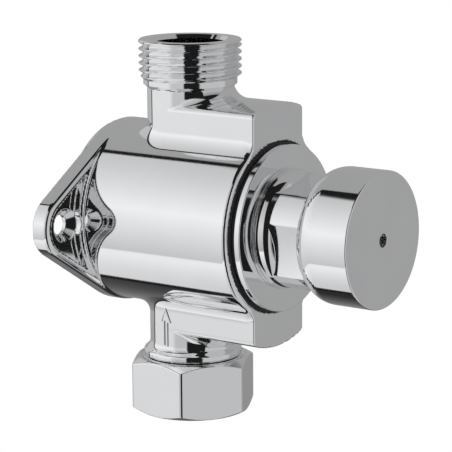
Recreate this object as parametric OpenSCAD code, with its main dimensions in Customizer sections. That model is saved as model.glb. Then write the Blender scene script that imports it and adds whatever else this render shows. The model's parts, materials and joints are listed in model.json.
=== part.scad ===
// In-line push timed tap for an exposed pipe.
// The wall is the plane y = 0, the tap stands in front of it towards -y, and z points up.
// The origin lies on the wall, on the axis that the barrel, the bonnet and the button share.

/* [Wall flange] */
// Thickness of the two ears
ear_t = 5.3; // [4.8:0.1:7]
// Distance from the axis to the tip of an ear
ear_reach = 38; // [37:0.5:42]
// Radius of the round tip of an ear
ear_tip_r = 8.3; // [7.6:0.1:9]
// Radius of the round middle of the flange
flange_r = 24; // [23.6:0.1:26]
// Height of the rear rim that bears on the wall
rim_h = 1.5; // [1:0.1:2.5]
// Radius of the rear rim
rim_r = 23.6; // [23:0.1:23.8]
// Depth of the pocket sunk in each ear
pocket_depth = 1.8; // [1:0.1:2.4]
// Width of the edge left round a pocket
pocket_edge = 1.4; // [1.2:0.1:2]
// Distance between the two wall screws
screw_spacing = 57; // [56.6:0.2:59]
// Diameter of a wall screw hole
screw_d = 5; // [4.2:0.1:5.4]
// Diameter of the countersink of a wall screw hole
countersink_d = 8.8; // [7.4:0.1:9]

/* [Barrel] */
// Outer radius of the barrel
barrel_r = 23.4; // [23:0.1:24]
// Distance from the wall to the flat front face of the body
front_d = 50.2; // [49.6:0.2:54]
// Thickness of the closed rear wall of the barrel
back_wall = 5; // [4:0.2:6]
// Radius of the two water chambers
chamber_r = 18.6; // [17.6:0.1:19]
// Radius of the threaded bore that takes the bonnet
bonnet_bore_r = 19; // [18.8:0.1:19.8]
// Distance from the wall to the ring that carries the valve seat
land_d = 29; // [28:0.2:30]
// Thickness of the ring that carries the valve seat
land_t = 5.5; // [5:0.1:6]
// Bore radius of the ring that carries the valve seat
land_r = 13.5; // [13:0.1:14]

/* [Pipes and shoulders] */
// Distance from the wall to the axis of the two pipes
pipe_d = 23; // [22:0.2:24]
// Outer radius of the pipes, and half the width of the shoulders
pipe_r = 11.1; // [10.9:0.1:11.6]
// Radius of the arc that tops the upper and the lower shoulder
shoulder_r = 31.7; // [30.5:0.1:33]
// Height of the outlet's end above the axis
outlet_h = 46.1; // [45:0.1:52]
// Outer diameter of the outlet thread, a three quarter inch parallel pipe thread
thread_d = 26.44; // [26:0.02:27]
// Length of the outlet thread
thread_len = 11.4; // [10:0.2:12]
// Pitch of the outlet thread
thread_pitch = 1.814; // [1.7:0.002:1.9]
// Depth of the outlet thread's grooves
thread_depth = 1.16; // [0.9:0.02:1.2]
// Bore of the outlet
outlet_bore_d = 18.4; // [17:0.1:19]
// Bore of the inlet
inlet_bore_d = 16; // [14:0.1:17]
// Length of the inlet stub below the axis
stub_h = 40.2; // [39:0.1:46]
// Radius of the collar above the union nut
collar_r = 12.7; // [12.4:0.1:13.4]
// Height of the collar above the union nut
collar_h = 1.8; // [1.2:0.1:2.4]
// Radius of the fillets between the shoulders and the barrel
fillet_r = 2.6; // [1.5:0.1:3.4]
// Width of the water passage in the upper shoulder
passage_w = 13; // [10:0.5:14]
// Height of the water passage in the upper shoulder
passage_h = 4.6; // [3.6:0.1:5]

/* [Union nut] */
// Width of the union nut across its flats
nut_af = 29.2; // [29:0.1:32]
// Height of the union nut
nut_h = 14.6; // [11:0.1:16]
// Turn of the union nut about the pipe
nut_turn = 24.8; // [0:0.2:60]
// Bore of the union nut's thread
nut_bore_d = 24.12; // [24:0.02:24.6]
// Radius of the smooth relief behind the nut thread
relief_r = 13; // [12.8:0.1:13.4]
// Thickness of the lip by which the nut hangs on its ring
nut_lip = 1.7; // [1.4:0.1:2]
// Thickness of the retaining ring in the stub
ring_t = 1; // [0.8:0.1:1.2]
// Depth of the groove that holds the retaining ring
ring_groove = 0.6; // [0.4:0.05:0.7]
// Length of the stub below its retaining ring
stub_end = 0.8; // [0.6:0.1:1.6]
// Thickness of the inlet gasket
gasket_t = 1.6; // [1.2:0.1:2]

/* [Bonnet] */
// Radius of the front disc of the bonnet
bonnet_r = 20.8; // [20.4:0.1:21.4]
// Radius of the rear disc of the bonnet
bonnet_rear_r = 21.7; // [21.4:0.1:22.6]
// Thickness of the bonnet's flange
bonnet_t = 2.75; // [2.5:0.05:4]
// Depth of the groove in the rim of the bonnet's flange
bonnet_groove = 0.9; // [0.4:0.1:1.2]
// Length of the bonnet's thread inside the body
skirt_len = 7; // [6:0.1:7.4]
// Radius of the neck
neck_r = 14.65; // [14:0.05:14.7]
// Length of the neck in front of the flange
neck_len = 15.5; // [14.8:0.1:15.8]
// Radius of the round collar behind the wrench flats
neck_collar_r = 15.3; // [15:0.05:16]
// Length of the round collar behind the wrench flats
neck_collar_len = 4.9; // [4:0.1:5.6]
// Radius of the rounded front edge of that collar
neck_collar_round = 3.3; // [2:0.1:3.8]
// Distance across the wrench flats
flats_af = 25.7; // [25:0.1:26.4]
// Turn of the wrench flats about the axis
flats_turn = 13.5; // [0:0.5:45]
// Radius of the spring room in the neck
spring_room_r = 10.5; // [10:0.1:11]
// Thickness of the front wall of the neck
neck_wall = 3.5; // [3.2:0.1:4]

/* [Button] */
// Radius of the button
button_r = 17.1; // [16.8:0.1:18]
// Length of the button from its rear lip to its face
button_len = 15.4; // [15:0.1:17]
// Gap between the bonnet's flange and the rear lip of the button
button_gap = 12.8; // [12.4:0.1:13]
// Outer radius of the rear lip of the button
lip_r = 15.3; // [15.2:0.05:16.4]
// Length of the flare between the rear lip and the straight side
flare_len = 4.8; // [4:0.1:7]
// Radius of the rounded edge of the face
edge_r = 0.5; // [0.3:0.05:1]
// Thickness of the button's face
face_t = 3.5; // [3:0.1:4]
// Diameter of the hole in the face
face_hole_d = 3.4; // [3.4:0.05:3.8]
// Travel of the button when it is pushed
travel = 6.5; // [5:0.1:6.5]

/* [Spindle and valve] */
// Radius of the spindle
spindle_r = 3; // [2.8:0.05:3.2]
// Radius of the thin rear end of the spindle
tail_r = 2.5; // [2.2:0.05:2.6]
// Radius of the collar that the valve washer bears on
shoulder_collar_r = 4.4; // [4:0.1:5]
// Radius of the valve seat's bore
seat_bore_r = 7.5; // [7:0.1:8]
// Height of the raised lip of the valve seat
seat_lip_h = 0.6; // [0.4:0.05:0.8]
// Radius of the valve washer
washer_r = 9.5; // [9.2:0.05:9.6]
// Thickness of the valve washer
washer_t = 2; // [1.8:0.1:2.4]
// Thickness of the floor of the cup that holds the valve washer
cup_floor = 1.5; // [1.2:0.1:1.8]

/* [Timing piston] */
// Inner radius of the timing cylinder
timing_r = 10.7; // [10.6:0.05:11]
// Wall of the timing cylinder
timing_wall = 1.7; // [1.5:0.05:1.8]
// Floor of the timing cylinder
timing_floor = 2; // [1.5:0.1:2]
// Length of the windows that let the water through to the seat
window_len = 8; // [7:0.1:8.4]
// Width of those windows
window_w = 12.8; // [10:0.2:14]
// Length of the piston
piston_len = 4.5; // [4.2:0.1:4.8]
// Radius of the piston
piston_r = 9.9; // [9.6:0.05:10.1]
// Radius of the timing needle
needle_r = 0.4; // [0.3:0.05:0.5]

/* [Return spring] */
// Wire diameter of the return spring
wire_d = 1.3; // [1:0.05:1.4]
// Mean radius of the return spring
spring_r = 6.4; // [6:0.1:7]
// Turns of the return spring
spring_turns = 5.5; // [4:0.5:6]

/* [Hidden] */
$fn = 96;

// Clearance of a part that slides or turns in another
run_fit = 0.1;
// Clearance of a part that is held still in another
seat_fit = 0.05;
// Overlap that lets a cut run past a face
cut = 1;

// Places along the axis, as distances from the wall
ear_front = rim_h + ear_t;
pocket_floor = ear_front - pocket_depth;
land_front = land_d + land_t;
bonnet_front = front_d + bonnet_t;
skirt_rear = front_d - skirt_len;
neck_front = bonnet_front + neck_len;
room_front = neck_front - neck_wall;
button_rear = bonnet_front + button_gap;
button_face = button_rear + button_len;
button_ceiling = button_face - face_t;

// Ears: the straight edges run along the tangents of the round middle and the round tips
ear_centre = ear_reach - ear_tip_r;
ear_angle = acos((flange_r - ear_tip_r) / ear_centre);
edge_tuck = 0.02;
ledge_w = 2.1;
ledge_r = barrel_r + ledge_w;
ear_fillet_r = 1.2;

// Shoulders, collar and passage
chamfer = 0.8;
thread_base = outlet_h - thread_len;
thread_root_r = thread_d / 2 - thread_depth;
crest_w = 0.3;
rim_w = 0.5;
rim_chamfer = 0.3;
crests = floor((thread_len - rim_w - chamfer) / thread_pitch);
shoulder_fillet_r = 3;
passage_step = 0.2;
passage_low = barrel_r - passage_step;
passage_wall = 7.7;
passage_front = front_d - passage_wall;
port_len = 6;
port_overlap = 3;
inlet_overlap = 2.1;
inlet_top = chamber_r - inlet_overlap;
nut_top = stub_h - nut_lip - run_fit - ring_t - stub_end;
collar_top = nut_top - run_fit - collar_h;
collar_fillet_r = 2.4;

// Retaining ring, gasket and strainer
groove_top = nut_top + nut_lip + run_fit;
groove_r = pipe_r - ring_groove;
ring_out_r = nut_bore_d / 2 - run_fit;
ring_slit = 3;
nut_face_step = 0.55;
relief_len = groove_top - nut_top + ring_t + stub_end + gasket_t - nut_lip;
strainer_flange_w = 1.2;
strainer_flange_r = inlet_bore_d / 2 + strainer_flange_w;
strainer_flange_t = 1;
strainer_len = 12;
strainer_wall = 0.8;
strainer_taper = 0.8;
strainer_slots = 10;
strainer_slot_w = 1.2;
strainer_edge = 2.5;

// Bonnet
rear_disc_t = bonnet_t / 3;
rim_groove_w = 0.5;
o_ring_r = 1;
bonnet_o_ring_place = 2.4;
bonnet_o_ring_mid = skirt_rear + bonnet_o_ring_place;
plate_t = 2;
plate_r = 16;
plate_front = skirt_rear + plate_t;
spanner_r = 12.5;
spanner_d = 2.4;
seal_wire_r = 0.9;
seal_groove_r = spindle_r + run_fit + 2 * seal_wire_r;

// Button
boss_r = 6.5;
stop_gap = 0.4;
boss_rear = neck_front + travel + stop_gap;
button_bore_r = neck_r + run_fit;
spindle_socket = 3;
spindle_front = boss_rear + spindle_socket;
screw_r = face_hole_d / 2 - run_fit;
screw_len = 10;
screw_recess = 1.1;
socket_af = 1.8;
socket_depth = 1.2;

// Seat, washer and cup
bush_sink = 1;
bush_rear = land_d - bush_sink;
seat_plane = bush_rear - seat_lip_h;
bush_flange_w = 2;
bush_flange_r = land_r + bush_flange_w;
bush_flange_t = 2;
seat_o_ring_r = 0.75;
seat_o_ring_mid = land_d + land_t / 2;
seat_lip_w = 1.1;
washer_rear = seat_plane - washer_t;
cup_rear = washer_rear - cup_floor;
cup_wall = 0.9;
collar_len = 1.6;
sleeve_wall = 1.6;

// Timing cylinder and piston
recess_depth = 1;
timing_rear = back_wall - recess_depth;
timing_out_r = timing_r + timing_wall;
timing_front = bush_rear;
timing_bottom = timing_rear + timing_floor;
piston_rear = timing_bottom + travel + stop_gap;
piston_front = piston_rear + piston_len;
seal_len = 2.4;
seal_rear = piston_rear + (piston_len - seal_len) / 2;
seal_groove = 1.4;
seal_in_r = piston_r - seal_groove;
needle_place = 6.6;
nut_recess = 2.5;
nut_out_r = 4.2;
nut_gap = 0.3;
needle_hole_gap = 0.3;
needle_head_w = 0.7;
needle_head_t = 0.5;
seal_rib_w = 0.7;
seal_lip_w = 0.4;
seal_lip_depth = 1.2;

// Spring
clip_t = 0.8;
clip_w = 1.8;
clip_groove = 0.6;
cup_gap = 0.6;
spring_cup_t = 1.2;
clip_front = room_front - stop_gap;
clip_rear = clip_front - clip_t;
spring_cup_rear = clip_rear - spring_cup_t;
clip_groove_r = spindle_r - clip_groove;
spring_rear = plate_front + seat_fit + wire_d / 2;
spring_front = spring_cup_rear - seat_fit - wire_d / 2;
turn_steps = 16;
wire_sides = 8;

// Turns a shape whose own z axis runs away from the wall into place
module forward() {
    rotate([90, 0, 0]) children();
}

// Ring of rectangular section about the button's axis
module disc(r_out, r_in, rear, front) {
    forward() translate([0, 0, rear]) difference() {
        cylinder(r = r_out, h = front - rear);
        translate([0, 0, -cut]) cylinder(r = r_in, h = front - rear + 2 * cut);
    }
}

// Round cord ring about the button's axis
module o_ring(mid_r, wire_r, mid) {
    forward() translate([0, 0, mid]) rotate_extrude() translate([mid_r, 0]) circle(r = wire_r);
}

// Puts a shape on the pipes' axis
module on_pipe() {
    translate([0, -pipe_d, 0]) children();
}

// Outline of the flange: a round middle and two ears. Their straight edges are tucked a hair
// inside both circles, so that they cross them at clear points and don't just touch
module rhombus(inset) {
    mid_r = flange_r - inset;
    tip_r = ear_tip_r - inset;
    mid_corner = mid_r - edge_tuck;
    tip_corner = tip_r - edge_tuck;
    circle(r = mid_r);
    for (side = [-1, 1]) {
        translate([side * ear_centre, 0]) circle(r = tip_r);
        polygon([
            [side * mid_corner * cos(ear_angle), mid_corner * sin(ear_angle)],
            [side * (ear_centre + tip_corner * cos(ear_angle)), tip_corner * sin(ear_angle)],
            [side * (ear_centre + tip_corner * cos(ear_angle)), -tip_corner * sin(ear_angle)],
            [side * mid_corner * cos(ear_angle), -mid_corner * sin(ear_angle)]
        ]);
    }
}

// Flange with its pockets and countersunk screw holes
module flange() {
    forward() difference() {
        translate([0, 0, rim_h]) linear_extrude(ear_t) rhombus(0);
        translate([0, 0, pocket_floor]) linear_extrude(pocket_depth + cut) difference() {
            rhombus(pocket_edge);
            circle(r = ledge_r);
        }
        for (side = [-1, 1]) translate([side * screw_spacing / 2, 0, 0]) {
            cylinder(d = screw_d, h = ear_front + cut);
            translate([0, 0, pocket_floor - (countersink_d - screw_d) / 2])
                cylinder(d1 = screw_d, d2 = countersink_d, h = (countersink_d - screw_d) / 2);
            translate([0, 0, pocket_floor]) cylinder(d = countersink_d, h = pocket_depth + cut);
        }
    }
}

// Concave fillet where the barrel grows out of the flange
module flange_fillet() {
    forward() intersection() {
        translate([0, 0, ear_front - cut]) linear_extrude(ear_fillet_r + cut) difference() {
            rhombus(0);
            for (side = [-1, 1]) translate([side * screw_spacing / 2, 0]) circle(d = countersink_d);
        }
        translate([0, 0, ear_front]) rotate_extrude() difference() {
            translate([barrel_r - cut, 0]) square([ear_fillet_r + cut, ear_fillet_r]);
            translate([barrel_r + ear_fillet_r, ear_fillet_r]) circle(r = ear_fillet_r);
        }
    }
}

// Section of one fillet between the side of a shoulder and the barrel
module shoulder_fillet_section() {
    mid_x = pipe_r + fillet_r;
    mid_z = sqrt(pow(barrel_r + fillet_r, 2) - pow(mid_x, 2));
    touch = barrel_r / (barrel_r + fillet_r);
    difference() {
        polygon([
            [pipe_r - cut, mid_z],
            [pipe_r, mid_z],
            [mid_x, mid_z],
            [mid_x * touch, mid_z * touch],
            [mid_x * touch - cut, mid_z * touch - cut],
            [pipe_r - cut, mid_z * touch - cut]
        ]);
        translate([mid_x, mid_z]) circle(r = fillet_r);
    }
}

// Shoulders that run from the pipes to the front face, with their fillets
module shoulders() {
    forward() translate([0, 0, pipe_d]) linear_extrude(front_d - pipe_d) {
        intersection() {
            square([2 * pipe_r, 2 * shoulder_r], center = true);
            circle(r = shoulder_r);
        }
        for (x = [0, 1]) for (z = [0, 1]) mirror([x, 0]) mirror([0, z]) shoulder_fillet_section();
    }
}

// Concave fillet between the upper pipe and the top of its shoulder
module pipe_root_fillet() {
    base = sqrt(pow(shoulder_r, 2) - pow(pipe_r, 2)) - cut;
    top = shoulder_r + shoulder_fillet_r;
    intersection() {
        on_pipe() rotate_extrude() difference() {
            translate([pipe_r - cut, base]) square([shoulder_fillet_r + cut, top - base]);
            translate([pipe_r + shoulder_fillet_r, top]) circle(r = shoulder_fillet_r);
            translate([pipe_r + shoulder_fillet_r, base]) square([cut, top - base]);
        }
        translate([-pipe_r, -front_d, base]) cube([2 * pipe_r, front_d - pipe_d, top - base]);
    }
}

// Section of the outlet's end, with the thread as a stack of rings below a plain rim
module thread_section() {
    crest_r = thread_d / 2;
    flank_w = (thread_pitch - 2 * crest_w) / 2;
    top = outlet_h - rim_w;
    ridges = [
        for (i = [crests : -1 : 1]) let (mid = top + crest_w / 2 - i * thread_pitch) each [
            [thread_root_r, mid - crest_w / 2 - flank_w],
            [crest_r, mid - crest_w / 2],
            [crest_r, mid + crest_w / 2],
            [thread_root_r, mid + crest_w / 2 + flank_w]
        ]
    ];
    polygon(concat(
        [
            [0, thread_base - chamfer],
            [pipe_r, thread_base - chamfer],
            [thread_root_r, thread_base - chamfer / 2]
        ],
        ridges,
        [
            [thread_root_r, top - flank_w],
            [crest_r, top],
            [crest_r, outlet_h - rim_chamfer],
            [crest_r - rim_chamfer, outlet_h],
            [0, outlet_h]
        ]
    ));
}

// Outlet with its thread, and inlet stub with its collar
module pipes() {
    on_pipe() {
        translate([0, 0, -stub_h]) cylinder(r = pipe_r, h = stub_h + outlet_h - chamfer);
        rotate_extrude() thread_section();
        translate([0, 0, -collar_top]) mirror([0, 0, 1]) cylinder(r = collar_r, h = collar_h);
        translate([0, 0, -collar_top]) rotate_extrude() difference() {
            translate([pipe_r - cut, -cut]) square([collar_r - pipe_r + cut, collar_fillet_r + cut]);
            translate([pipe_r + collar_fillet_r, collar_fillet_r]) circle(r = collar_fillet_r);
        }
    }
}

// Outside of the body as one casting
module body_outside() {
    forward() cylinder(r = barrel_r, h = front_d);
    forward() cylinder(r = rim_r, h = rim_h);
    flange();
    flange_fillet();
    shoulders();
    pipe_root_fillet();
    pipes();
}

// Water ways and bores of the body
module body_inside() {
    forward() {
        translate([0, 0, timing_rear]) cylinder(r = timing_out_r + run_fit, h = recess_depth + cut);
        translate([0, 0, back_wall]) cylinder(r = chamber_r, h = land_d - back_wall);
        translate([0, 0, land_d - cut]) cylinder(r = land_r, h = land_t + 2 * cut);
        translate([0, 0, land_front]) cylinder(r = chamber_r, h = front_d - land_front);
        translate([0, 0, skirt_rear - seat_fit]) cylinder(r = bonnet_bore_r, h = skirt_len + cut);
    }
    on_pipe() {
        translate([0, 0, -stub_h - cut])
            cylinder(d = inlet_bore_d, h = stub_h + cut - inlet_top);
        translate([0, 0, -stub_h - cut])
            cylinder(r = strainer_flange_r + seat_fit, h = strainer_flange_t + cut);
        translate([0, 0, passage_low]) cylinder(d = outlet_bore_d, h = outlet_h);
        translate([0, 0, -groove_top - ring_t]) difference() {
            cylinder(r = collar_r, h = ring_t);
            translate([0, 0, -cut]) cylinder(r = groove_r, h = ring_t + 2 * cut);
        }
    }
    translate([-passage_w / 2, -passage_front, passage_low])
        cube([passage_w, passage_front - pipe_d, passage_h]);
    translate([-passage_w / 2, -passage_front, chamber_r - port_overlap])
        cube([passage_w, port_len, passage_low - chamber_r + port_overlap + cut]);
}

module valve_body() {
    color([0.84, 0.85, 0.87]) difference() {
        body_outside();
        body_inside();
    }
}

// Outline of the bonnet, as radius and distance from the wall
module bonnet_section() {
    difference() {
        union() {
            translate([0, skirt_rear]) square([bonnet_bore_r - seat_fit, skirt_len + cut]);
            translate([0, front_d]) square([bonnet_rear_r, rear_disc_t]);
            translate([0, front_d]) square([bonnet_r, bonnet_t]);
            translate([0, front_d]) square([neck_collar_r, bonnet_t + neck_collar_len - neck_collar_round]);
            translate([0, front_d]) square([neck_collar_r - neck_collar_round, bonnet_t + neck_collar_len]);
            translate([neck_collar_r - neck_collar_round, bonnet_front + neck_collar_len - neck_collar_round])
                circle(r = neck_collar_round);
        }
        translate([bonnet_r - bonnet_groove, front_d + rear_disc_t])
            square([bonnet_groove + cut, rim_groove_w]);
        translate([bonnet_bore_r - seat_fit - 2 * o_ring_r, bonnet_o_ring_mid - o_ring_r])
            square([2 * o_ring_r + cut, 2 * o_ring_r]);
    }
}

// Section of the rooms for the plate, the spring, the spindle and its seal
module bonnet_room() {
    translate([0, skirt_rear - cut]) square([plate_r, plate_t + cut]);
    translate([0, skirt_rear]) square([spring_room_r, room_front - skirt_rear]);
    translate([0, room_front - cut]) square([spindle_r + run_fit, neck_wall + 2 * cut]);
    translate([0, neck_front - neck_wall / 2 - seal_wire_r]) square([seal_groove_r, 2 * seal_wire_r]);
}

// Neck with its four wrench flats
module neck() {
    intersection() {
        translate([0, 0, front_d]) cylinder(r = neck_r, h = neck_front - front_d);
        rotate(flats_turn) translate([0, 0, front_d + neck_front / 2])
            cube([flats_af, flats_af, neck_front], center = true);
    }
}

module bonnet() {
    color([0.8, 0.81, 0.83]) forward() difference() {
        union() {
            rotate_extrude() bonnet_section();
            neck();
        }
        rotate_extrude() bonnet_room();
    }
}

module bonnet_o_ring() {
    color([0.09, 0.09, 0.1])
        o_ring(bonnet_bore_r - seat_fit - o_ring_r, o_ring_r - seat_fit, bonnet_o_ring_mid);
}

module stem_seal() {
    color([0.09, 0.09, 0.1])
        o_ring(spindle_r + run_fit + seal_wire_r, seal_wire_r - seat_fit, neck_front - neck_wall / 2);
}

// Screwed plate that the spring pushes on, with two spanner holes
module spring_plate() {
    color([0.76, 0.62, 0.34]) difference() {
        disc(plate_r - seat_fit, spindle_r + run_fit, skirt_rear, plate_front);
        for (side = [-1, 1]) forward() translate([side * spanner_r, 0, skirt_rear - cut])
            cylinder(d = spanner_d, h = plate_t + 2 * cut);
    }
}

// Screwed bush with the raised lip that the valve washer closes against
module seat_bush() {
    color([0.76, 0.62, 0.34]) forward() rotate_extrude() difference() {
        union() {
            translate([0, bush_rear]) square([land_r - seat_fit, land_front - bush_rear]);
            translate([0, land_front]) square([bush_flange_r, bush_flange_t]);
            translate([0, seat_plane]) square([seat_bore_r + seat_lip_w, seat_lip_h + cut]);
        }
        translate([-cut, 0]) square([seat_bore_r + cut, front_d]);
        translate([land_r - seat_fit - 2 * seat_o_ring_r, seat_o_ring_mid - seat_o_ring_r])
            square([2 * seat_o_ring_r + cut, 2 * seat_o_ring_r]);
    }
}

module seat_o_ring() {
    color([0.09, 0.09, 0.1])
        o_ring(land_r - seat_fit - seat_o_ring_r, seat_o_ring_r - seat_fit, seat_o_ring_mid);
}

// Cylinder of the timing piston, with four windows in front that let the water through
module timing_cylinder() {
    color([0.92, 0.92, 0.9]) forward() difference() {
        translate([0, 0, timing_rear]) cylinder(r = timing_out_r, h = timing_front - timing_rear);
        translate([0, 0, timing_bottom]) cylinder(r = timing_r, h = timing_front);
        for (side = [0 : 1]) rotate(45 + 90 * side)
            translate([-timing_out_r - cut, -window_w / 2, timing_front - window_len])
                cube([2 * timing_out_r + 2 * cut, window_w, window_len + cut]);
    }
}

// Captive hexagon nut with chamfered ends
module union_nut() {
    corner_r = nut_af / 2 / cos(30);
    face_r = nut_af / 2 - nut_face_step;
    slope_h = (corner_r - face_r) * tan(30);
    color([0.8, 0.81, 0.83]) on_pipe() translate([0, 0, -nut_top - nut_h]) difference() {
        intersection() {
            rotate(nut_turn) cylinder(r = corner_r, h = nut_h, $fn = 6);
            rotate_extrude() polygon([
                [0, 0],
                [face_r, 0],
                [corner_r + cut, slope_h + cut * tan(30)],
                [corner_r + cut, nut_h - slope_h - cut * tan(30)],
                [face_r, nut_h],
                [0, nut_h]
            ]);
        }
        translate([0, 0, -cut]) cylinder(d = nut_bore_d, h = nut_h - nut_lip + cut);
        translate([0, 0, nut_h - nut_lip - relief_len]) cylinder(r = relief_r, h = relief_len);
        cylinder(r = pipe_r + 2 * run_fit, h = nut_h + cut);
        translate([0, 0, -cut])
            cylinder(d1 = nut_bore_d + 2 * cut + chamfer, d2 = nut_bore_d, h = cut + chamfer);
    }
}

// Split ring in the stub's groove that holds the nut
module nut_retaining_ring() {
    color([0.7, 0.71, 0.73]) on_pipe() translate([0, 0, -groove_top - ring_t]) difference() {
        cylinder(r = ring_out_r, h = ring_t - seat_fit);
        translate([0, 0, -cut]) cylinder(r = groove_r + seat_fit, h = ring_t + 2 * cut);
        translate([0, -ring_slit / 2, -cut]) cube([ring_out_r + cut, ring_slit, ring_t + 2 * cut]);
    }
}

module inlet_gasket() {
    color([0.25, 0.13, 0.1]) on_pipe() translate([0, 0, -stub_h - gasket_t]) difference() {
        cylinder(r = ring_out_r, h = gasket_t);
        translate([0, 0, -cut]) cylinder(d = inlet_bore_d, h = gasket_t + 2 * cut);
    }
}

// Slotted cup in the inlet that holds back grit
module inlet_strainer() {
    base_r = inlet_bore_d / 2 - run_fit;
    tip_r = base_r - strainer_taper;
    color([0.7, 0.71, 0.73]) on_pipe() translate([0, 0, -stub_h]) difference() {
        union() {
            cylinder(r = strainer_flange_r, h = strainer_flange_t);
            cylinder(r1 = base_r, r2 = tip_r, h = strainer_len);
        }
        translate([0, 0, -cut])
            cylinder(r1 = base_r - strainer_wall, r2 = tip_r - strainer_wall, h = strainer_len);
        for (slot = [0 : strainer_slots / 2 - 1]) rotate(slot * 360 / strainer_slots)
            translate([-strainer_flange_r, -strainer_slot_w / 2, strainer_edge])
                cube([2 * strainer_flange_r, strainer_slot_w, strainer_len - 2 * strainer_edge]);
    }
}

// Section of the button: a cap with a flared rear lip and a boss for the spindle
module button_section() {
    flare_r = (pow(flare_len, 2) + pow(button_r - lip_r, 2)) / (2 * (button_r - lip_r));
    difference() {
        union() {
            intersection() {
                translate([0, button_rear]) square([button_r, flare_len]);
                translate([button_r - flare_r, button_rear + flare_len]) circle(r = flare_r, $fn = 240);
            }
            translate([0, button_rear + flare_len])
                square([button_r, button_len - flare_len - edge_r]);
            translate([0, button_face - edge_r]) square([button_r - edge_r, edge_r]);
            translate([button_r - edge_r, button_face - edge_r]) circle(r = edge_r);
        }
        difference() {
            translate([-cut, button_rear - cut])
                square([button_bore_r + cut, button_ceiling - button_rear + cut]);
            translate([-cut, boss_rear]) square([boss_r + cut, button_face - boss_rear]);
        }
        translate([-cut, boss_rear - cut])
            square([spindle_r + seat_fit + cut, spindle_front - boss_rear + cut]);
        translate([-cut, boss_rear]) square([face_hole_d / 2 + cut, button_len]);
    }
}

module push_button() {
    color([0.84, 0.85, 0.87]) forward() rotate_extrude() button_section();
}

// Headless screw behind the hole in the button's face
module adjusting_screw() {
    front = button_face - screw_recess;
    color([0.45, 0.46, 0.48]) forward() difference() {
        translate([0, 0, front - screw_len]) cylinder(r = screw_r, h = screw_len, $fn = 48);
        translate([0, 0, front - socket_depth])
            cylinder(d = socket_af / cos(30), h = socket_depth + cut, $fn = 6);
    }
}

// Spindle: a thin tail, the washer's collar, the long shank and its tapped front end
module spindle() {
    color([0.72, 0.73, 0.75]) forward() rotate_extrude() difference() {
        union() {
            translate([0, piston_rear]) square([tail_r, spindle_front - piston_rear]);
            translate([0, seat_plane]) square([spindle_r, spindle_front - seat_plane]);
            translate([0, seat_plane]) square([shoulder_collar_r, collar_len]);
        }
        translate([clip_groove_r, clip_rear]) square([spindle_r, clip_t]);
        translate([-cut, button_face - screw_recess - screw_len - stop_gap])
            square([screw_r + seat_fit + cut, button_len]);
    }
}

// Washer that the spring lifts
module spring_cup() {
    color([0.72, 0.73, 0.75]) disc(spring_room_r - cup_gap, spindle_r + run_fit, spring_cup_rear, clip_rear);
}

// Open clip in the spindle's groove
module spindle_clip() {
    color([0.45, 0.46, 0.48]) difference() {
        disc(spindle_r + clip_w, clip_groove_r + seat_fit, clip_rear, clip_front);
        forward() translate([-clip_groove_r, 0, clip_rear - cut])
            cube([2 * clip_groove_r, spindle_r + clip_w + cut, clip_t + 2 * cut]);
    }
}

// Point of the spring wire at a turn and at an angle round the wire
function spring_point(turn, around) = [
    (spring_r + wire_d / 2 * cos(around)) * cos(360 * turn),
    (spring_r + wire_d / 2 * cos(around)) * sin(360 * turn),
    spring_rear + (spring_front - spring_rear) * turn / spring_turns + wire_d / 2 * sin(around)
];

// One unbroken wire, swept along a helix
module return_spring() {
    rings = spring_turns * turn_steps;
    sides = wire_sides;
    points = [
        for (ring = [0 : rings]) for (side = [0 : sides - 1])
            spring_point(ring / turn_steps, 360 * side / sides)
    ];
    walls = [
        for (ring = [0 : rings - 1]) for (side = [0 : sides - 1])
            let (a = ring * sides + side, b = ring * sides + (side + 1) % sides)
                each [[a, b, b + sides], [a, b + sides, a + sides]]
    ];
    rear = [[for (side = [0 : sides - 1]) sides - 1 - side]];
    front = [[for (side = [0 : sides - 1]) rings * sides + side]];
    color([0.72, 0.73, 0.75]) forward() polyhedron(concat(points), concat(walls, rear, front));
}

module seat_washer() {
    color([0.09, 0.09, 0.1]) disc(washer_r, tail_r + seat_fit, washer_rear, seat_plane);
}

// Cup that backs the valve washer and holds its rim
module washer_cup() {
    color([0.76, 0.62, 0.34]) difference() {
        disc(washer_r + cup_wall, tail_r + seat_fit, cup_rear, washer_rear + washer_t / 2);
        disc(washer_r + seat_fit, tail_r, washer_rear, washer_rear + washer_t);
    }
}

module spacer_sleeve() {
    color([0.76, 0.62, 0.34]) disc(tail_r + sleeve_wall, tail_r + seat_fit, piston_front, cup_rear);
}

// Piston with a groove for its seal, a hole for the needle and a recess for its nut
module piston() {
    color([0.92, 0.92, 0.9]) difference() {
        disc(piston_r, tail_r + seat_fit, piston_rear, piston_front);
        disc(piston_r + cut, seal_in_r, seal_rear, seal_rear + seal_len);
        disc(nut_out_r + nut_gap, tail_r, piston_rear - cut, piston_rear + nut_recess);
        forward() translate([needle_place, 0, piston_rear - cut])
            cylinder(r = needle_r + needle_hole_gap, h = piston_len + 2 * cut, $fn = 32);
    }
}

// Lip seal: a ring whose lip opens towards the closed end of the cylinder
module piston_seal() {
    lip_out = timing_r - run_fit;
    color([0.09, 0.09, 0.1]) forward() rotate_extrude() polygon([
        [seal_in_r + seat_fit, seal_rear + seat_fit],
        [seal_in_r + seal_rib_w, seal_rear + seat_fit],
        [seal_in_r + seal_rib_w, seal_rear + seal_lip_depth],
        [lip_out - seal_lip_w, seal_rear + seat_fit],
        [lip_out, seal_rear + seat_fit],
        [piston_r + run_fit, seal_rear + seal_len - seat_fit],
        [seal_in_r + seat_fit, seal_rear + seal_len - seat_fit]
    ]);
}

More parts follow.
